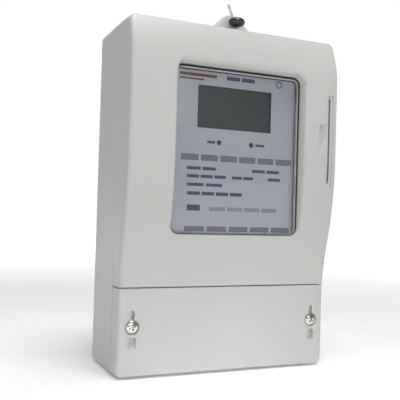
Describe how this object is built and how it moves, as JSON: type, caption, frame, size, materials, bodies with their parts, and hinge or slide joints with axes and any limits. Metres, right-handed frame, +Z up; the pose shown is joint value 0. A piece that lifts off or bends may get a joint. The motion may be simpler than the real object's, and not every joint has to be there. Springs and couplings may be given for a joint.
{
  "type": "prepaid electricity meter",
  "caption": "Wall-hung three-phase energy meter in pale plastic, with a curved front, a clear window over a dial and display, an upright card slot and a pull-off terminal cover.",
  "frame": {"origin": "on the wall plane, midway between the two lower fixing holes, 12 mm above the bottom edge of the case", "axes": "+Z up, +X to the right as seen from the front, -Y out of the front; the back lies on the wall at Y = 0"},
  "size_m": [0.14, 0.0681, 0.2287],
  "materials": {
    "case_plastic": "light warm grey, fine moulded texture",
    "clear_plastic": "clear polycarbonate",
    "gasket_rubber": "foam cord",
    "seal_plastic": "glossy black",
    "steel_wire": "stranded sealing wire",
    "nickel": "nickel plated",
    "zinc_steel": "zinc plated",
    "brass": "machined brass",
    "nameplate_metal": "satin anodised, printed",
    "black_plastic": "moulded black",
    "display": "dark grey-green display, off",
    "backlight": "frosted light guide",
    "lamp_red": "tinted lamp",
    "board": "green solder mask",
    "chip": "moulded package",
    "crystal_can": "tinned can",
    "iron_core": "varnished laminations",
    "winding_tape": "polyester tape",
    "capacitor_sleeve": "shrunk sleeve",
    "varistor_coat": "epoxy coat",
    "white_plastic": "moulded white",
    "cell_wrap": "printed wrap",
    "ribbon": "grey flat cable",
    "contact": "gold plated",
    "relay_case": "moulded case",
    "coil_case": "potted case",
    "copper": "bare copper",
    "block_plastic": "glass-filled black",
    "green_plastic": "moulded green",
    "label_film": "printed film"
  },
  "bodies": {
    "case": {"base": "case_plastic", "front_cover": "case_plastic", "window_lens": "clear_plastic", "cover_gasket": "gasket_rubber", "seal_bead": "seal_plastic", "seal_wire": "steel_wire", "seal_screw_inserts": "brass", "nameplate": "nameplate_metal", "dial_frame": "black_plastic", "display_glass": "display", "display_bezel": "black_plastic", "display_backlight": "backlight", "alarm_lamp": "lamp_red", "pulse_lamp": "lamp_red", "main_board": "board", "main_board_screws": "zinc_steel", "power_board": "board", "power_board_screws": "zinc_steel", "microcontroller": "chip", "metering_chip": "chip", "logic_chips": "chip", "clock_crystal": "crystal_can", "transformer_core": "iron_core", "transformer_winding": "winding_tape", "reservoir_capacitors": "capacitor_sleeve", "varistors": "varistor_coat", "optocouplers": "white_plastic", "lithium_cell": "cell_wrap", "cell_holder": "black_plastic", "buzzer": "black_plastic", "ribbon_cable": "ribbon", "ribbon_sockets": "white_plastic", "card_reader": "black_plastic", "card_contacts": "contact", "card_switch": "black_plastic", "latching_relays": "relay_case", "current_transformers": "coil_case", "busbars": "copper", "terminal_block": "block_plastic", "main_terminals": "brass", "main_terminal_screws": "nickel", "auxiliary_terminal_block": "green_plastic", "auxiliary_terminal_screws": "nickel", "terminal_block_screws": "zinc_steel", "front_cover_screws": "zinc_steel"},
    "terminal_cover": {"terminal_cover": "case_plastic", "captive_washers": "zinc_steel", "wiring_label": "label_film"},
    "left_sealing_screw": {"seal_screw_left": "nickel"},
    "right_sealing_screw": {"seal_screw_right": "nickel"},
    "hanger": {"hanger": "zinc_steel"}
  },
  "joints": [
    {"name": "terminal_cover_slide", "type": "slide", "parent": "case", "child": "terminal_cover", "axis": [0, -1, 0], "range_m": [0, 0.06]},
    {"name": "left_screw_turn", "type": "hinge", "parent": "terminal_cover", "child": "left_sealing_screw", "pos_m": [-0.061, -0.05, 0.018], "axis": [0, 1, 0], "continuous": true},
    {"name": "right_screw_turn", "type": "hinge", "parent": "terminal_cover", "child": "right_sealing_screw", "pos_m": [0.061, -0.05, 0.018], "axis": [0, 1, 0], "continuous": true},
    {"name": "hanger_slide", "type": "slide", "parent": "case", "child": "hanger", "axis": [0, 0, 1], "range_m": [0, 0.026]}
  ]
}
